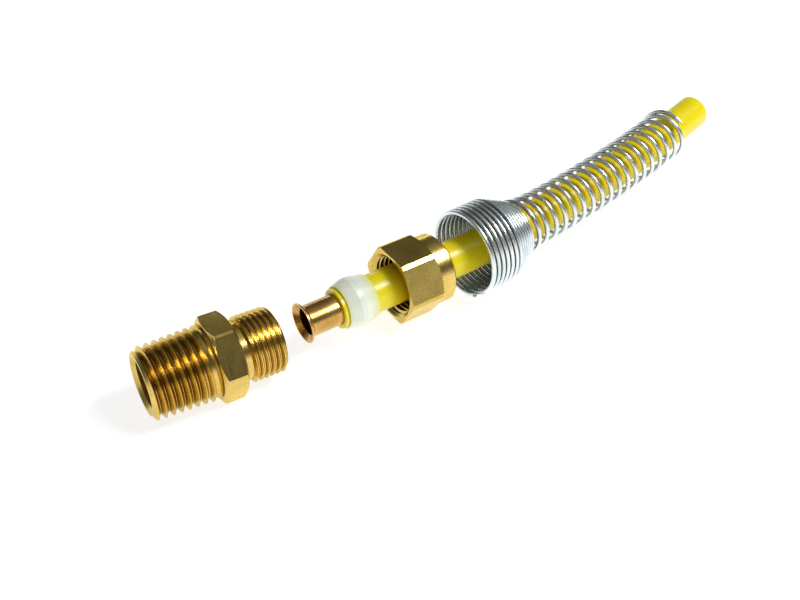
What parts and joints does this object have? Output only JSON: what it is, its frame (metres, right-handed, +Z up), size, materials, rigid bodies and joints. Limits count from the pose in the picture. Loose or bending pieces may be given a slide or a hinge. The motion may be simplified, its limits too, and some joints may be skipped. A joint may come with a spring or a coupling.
{
  "type": "compression hose fitting",
  "caption": "Brass screw-on compression end for nylon air hose, laid out in order: threaded adaptor, flared tube insert, ferrule, nut and tapered spring guard on a length of hose.",
  "frame": {"origin": "centre of the adaptor's pipe-thread end face", "axes": "+X along the adaptor from the pipe-thread end towards the hose, +Y away from the side it is seen from, +Z up; the hose bends towards +Y and +Z equally"},
  "size_m": [0.1458, 0.0246, 0.0239],
  "materials": {
    "brass": "turned, bright",
    "copper_insert": "drawn tube, satin, reddish",
    "ferrule_plastic": "milky, slightly translucent",
    "yellow_nylon": "smooth extruded nylon",
    "zinc_steel": "bright zinc plate"
  },
  "bodies": {
    "adaptor_body": {"adaptor": "brass"},
    "insert_body": {"tube_support_insert": "copper_insert"},
    "ferrule_body": {"ferrule": "ferrule_plastic"},
    "nut_body": {"compression_nut": "brass"},
    "hose_body": {"air_hose": "yellow_nylon"},
    "guard_body": {"spring_guard": "zinc_steel"}
  },
  "joints": [
    {"name": "hose_approach", "type": "hinge", "parent": "adaptor_body", "child": "insert_body", "pos_m": [0.0099, 0.19092, 0.19092], "axis": [0, 0.7071, -0.7071], "range_deg": [0, 3.49]},
    {"name": "hose_slide", "type": "slide", "parent": "insert_body", "child": "hose_body", "axis": [-0.9981, -0.043, -0.043], "range_m": [0, 0.0062]},
    {"name": "nut_turn", "type": "hinge", "parent": "insert_body", "child": "ferrule_body", "pos_m": [0.0308, 0.00055, 0.00055], "axis": [-0.9981, -0.043, -0.043], "range_deg": [0, 5160.19]},
    {"name": "nut_advance", "type": "slide", "parent": "ferrule_body", "child": "nut_body", "axis": [-0.9981, -0.043, -0.043], "range_m": [0, 0.01517]},
    {"name": "guard_slide", "type": "hinge", "parent": "hose_body", "child": "guard_body", "pos_m": [0.03921, 0.25382, 0.25382], "axis": [0, 0.7071, -0.7071], "range_deg": [0, 3.64]}
  ],
  "couplings": [
    {"joint": "nut_advance", "follows": "nut_turn", "m_per_rad": 0.00016844},
    {"joint": "guard_slide", "follows": "nut_turn", "ratio": 0.00070602}
  ]
}
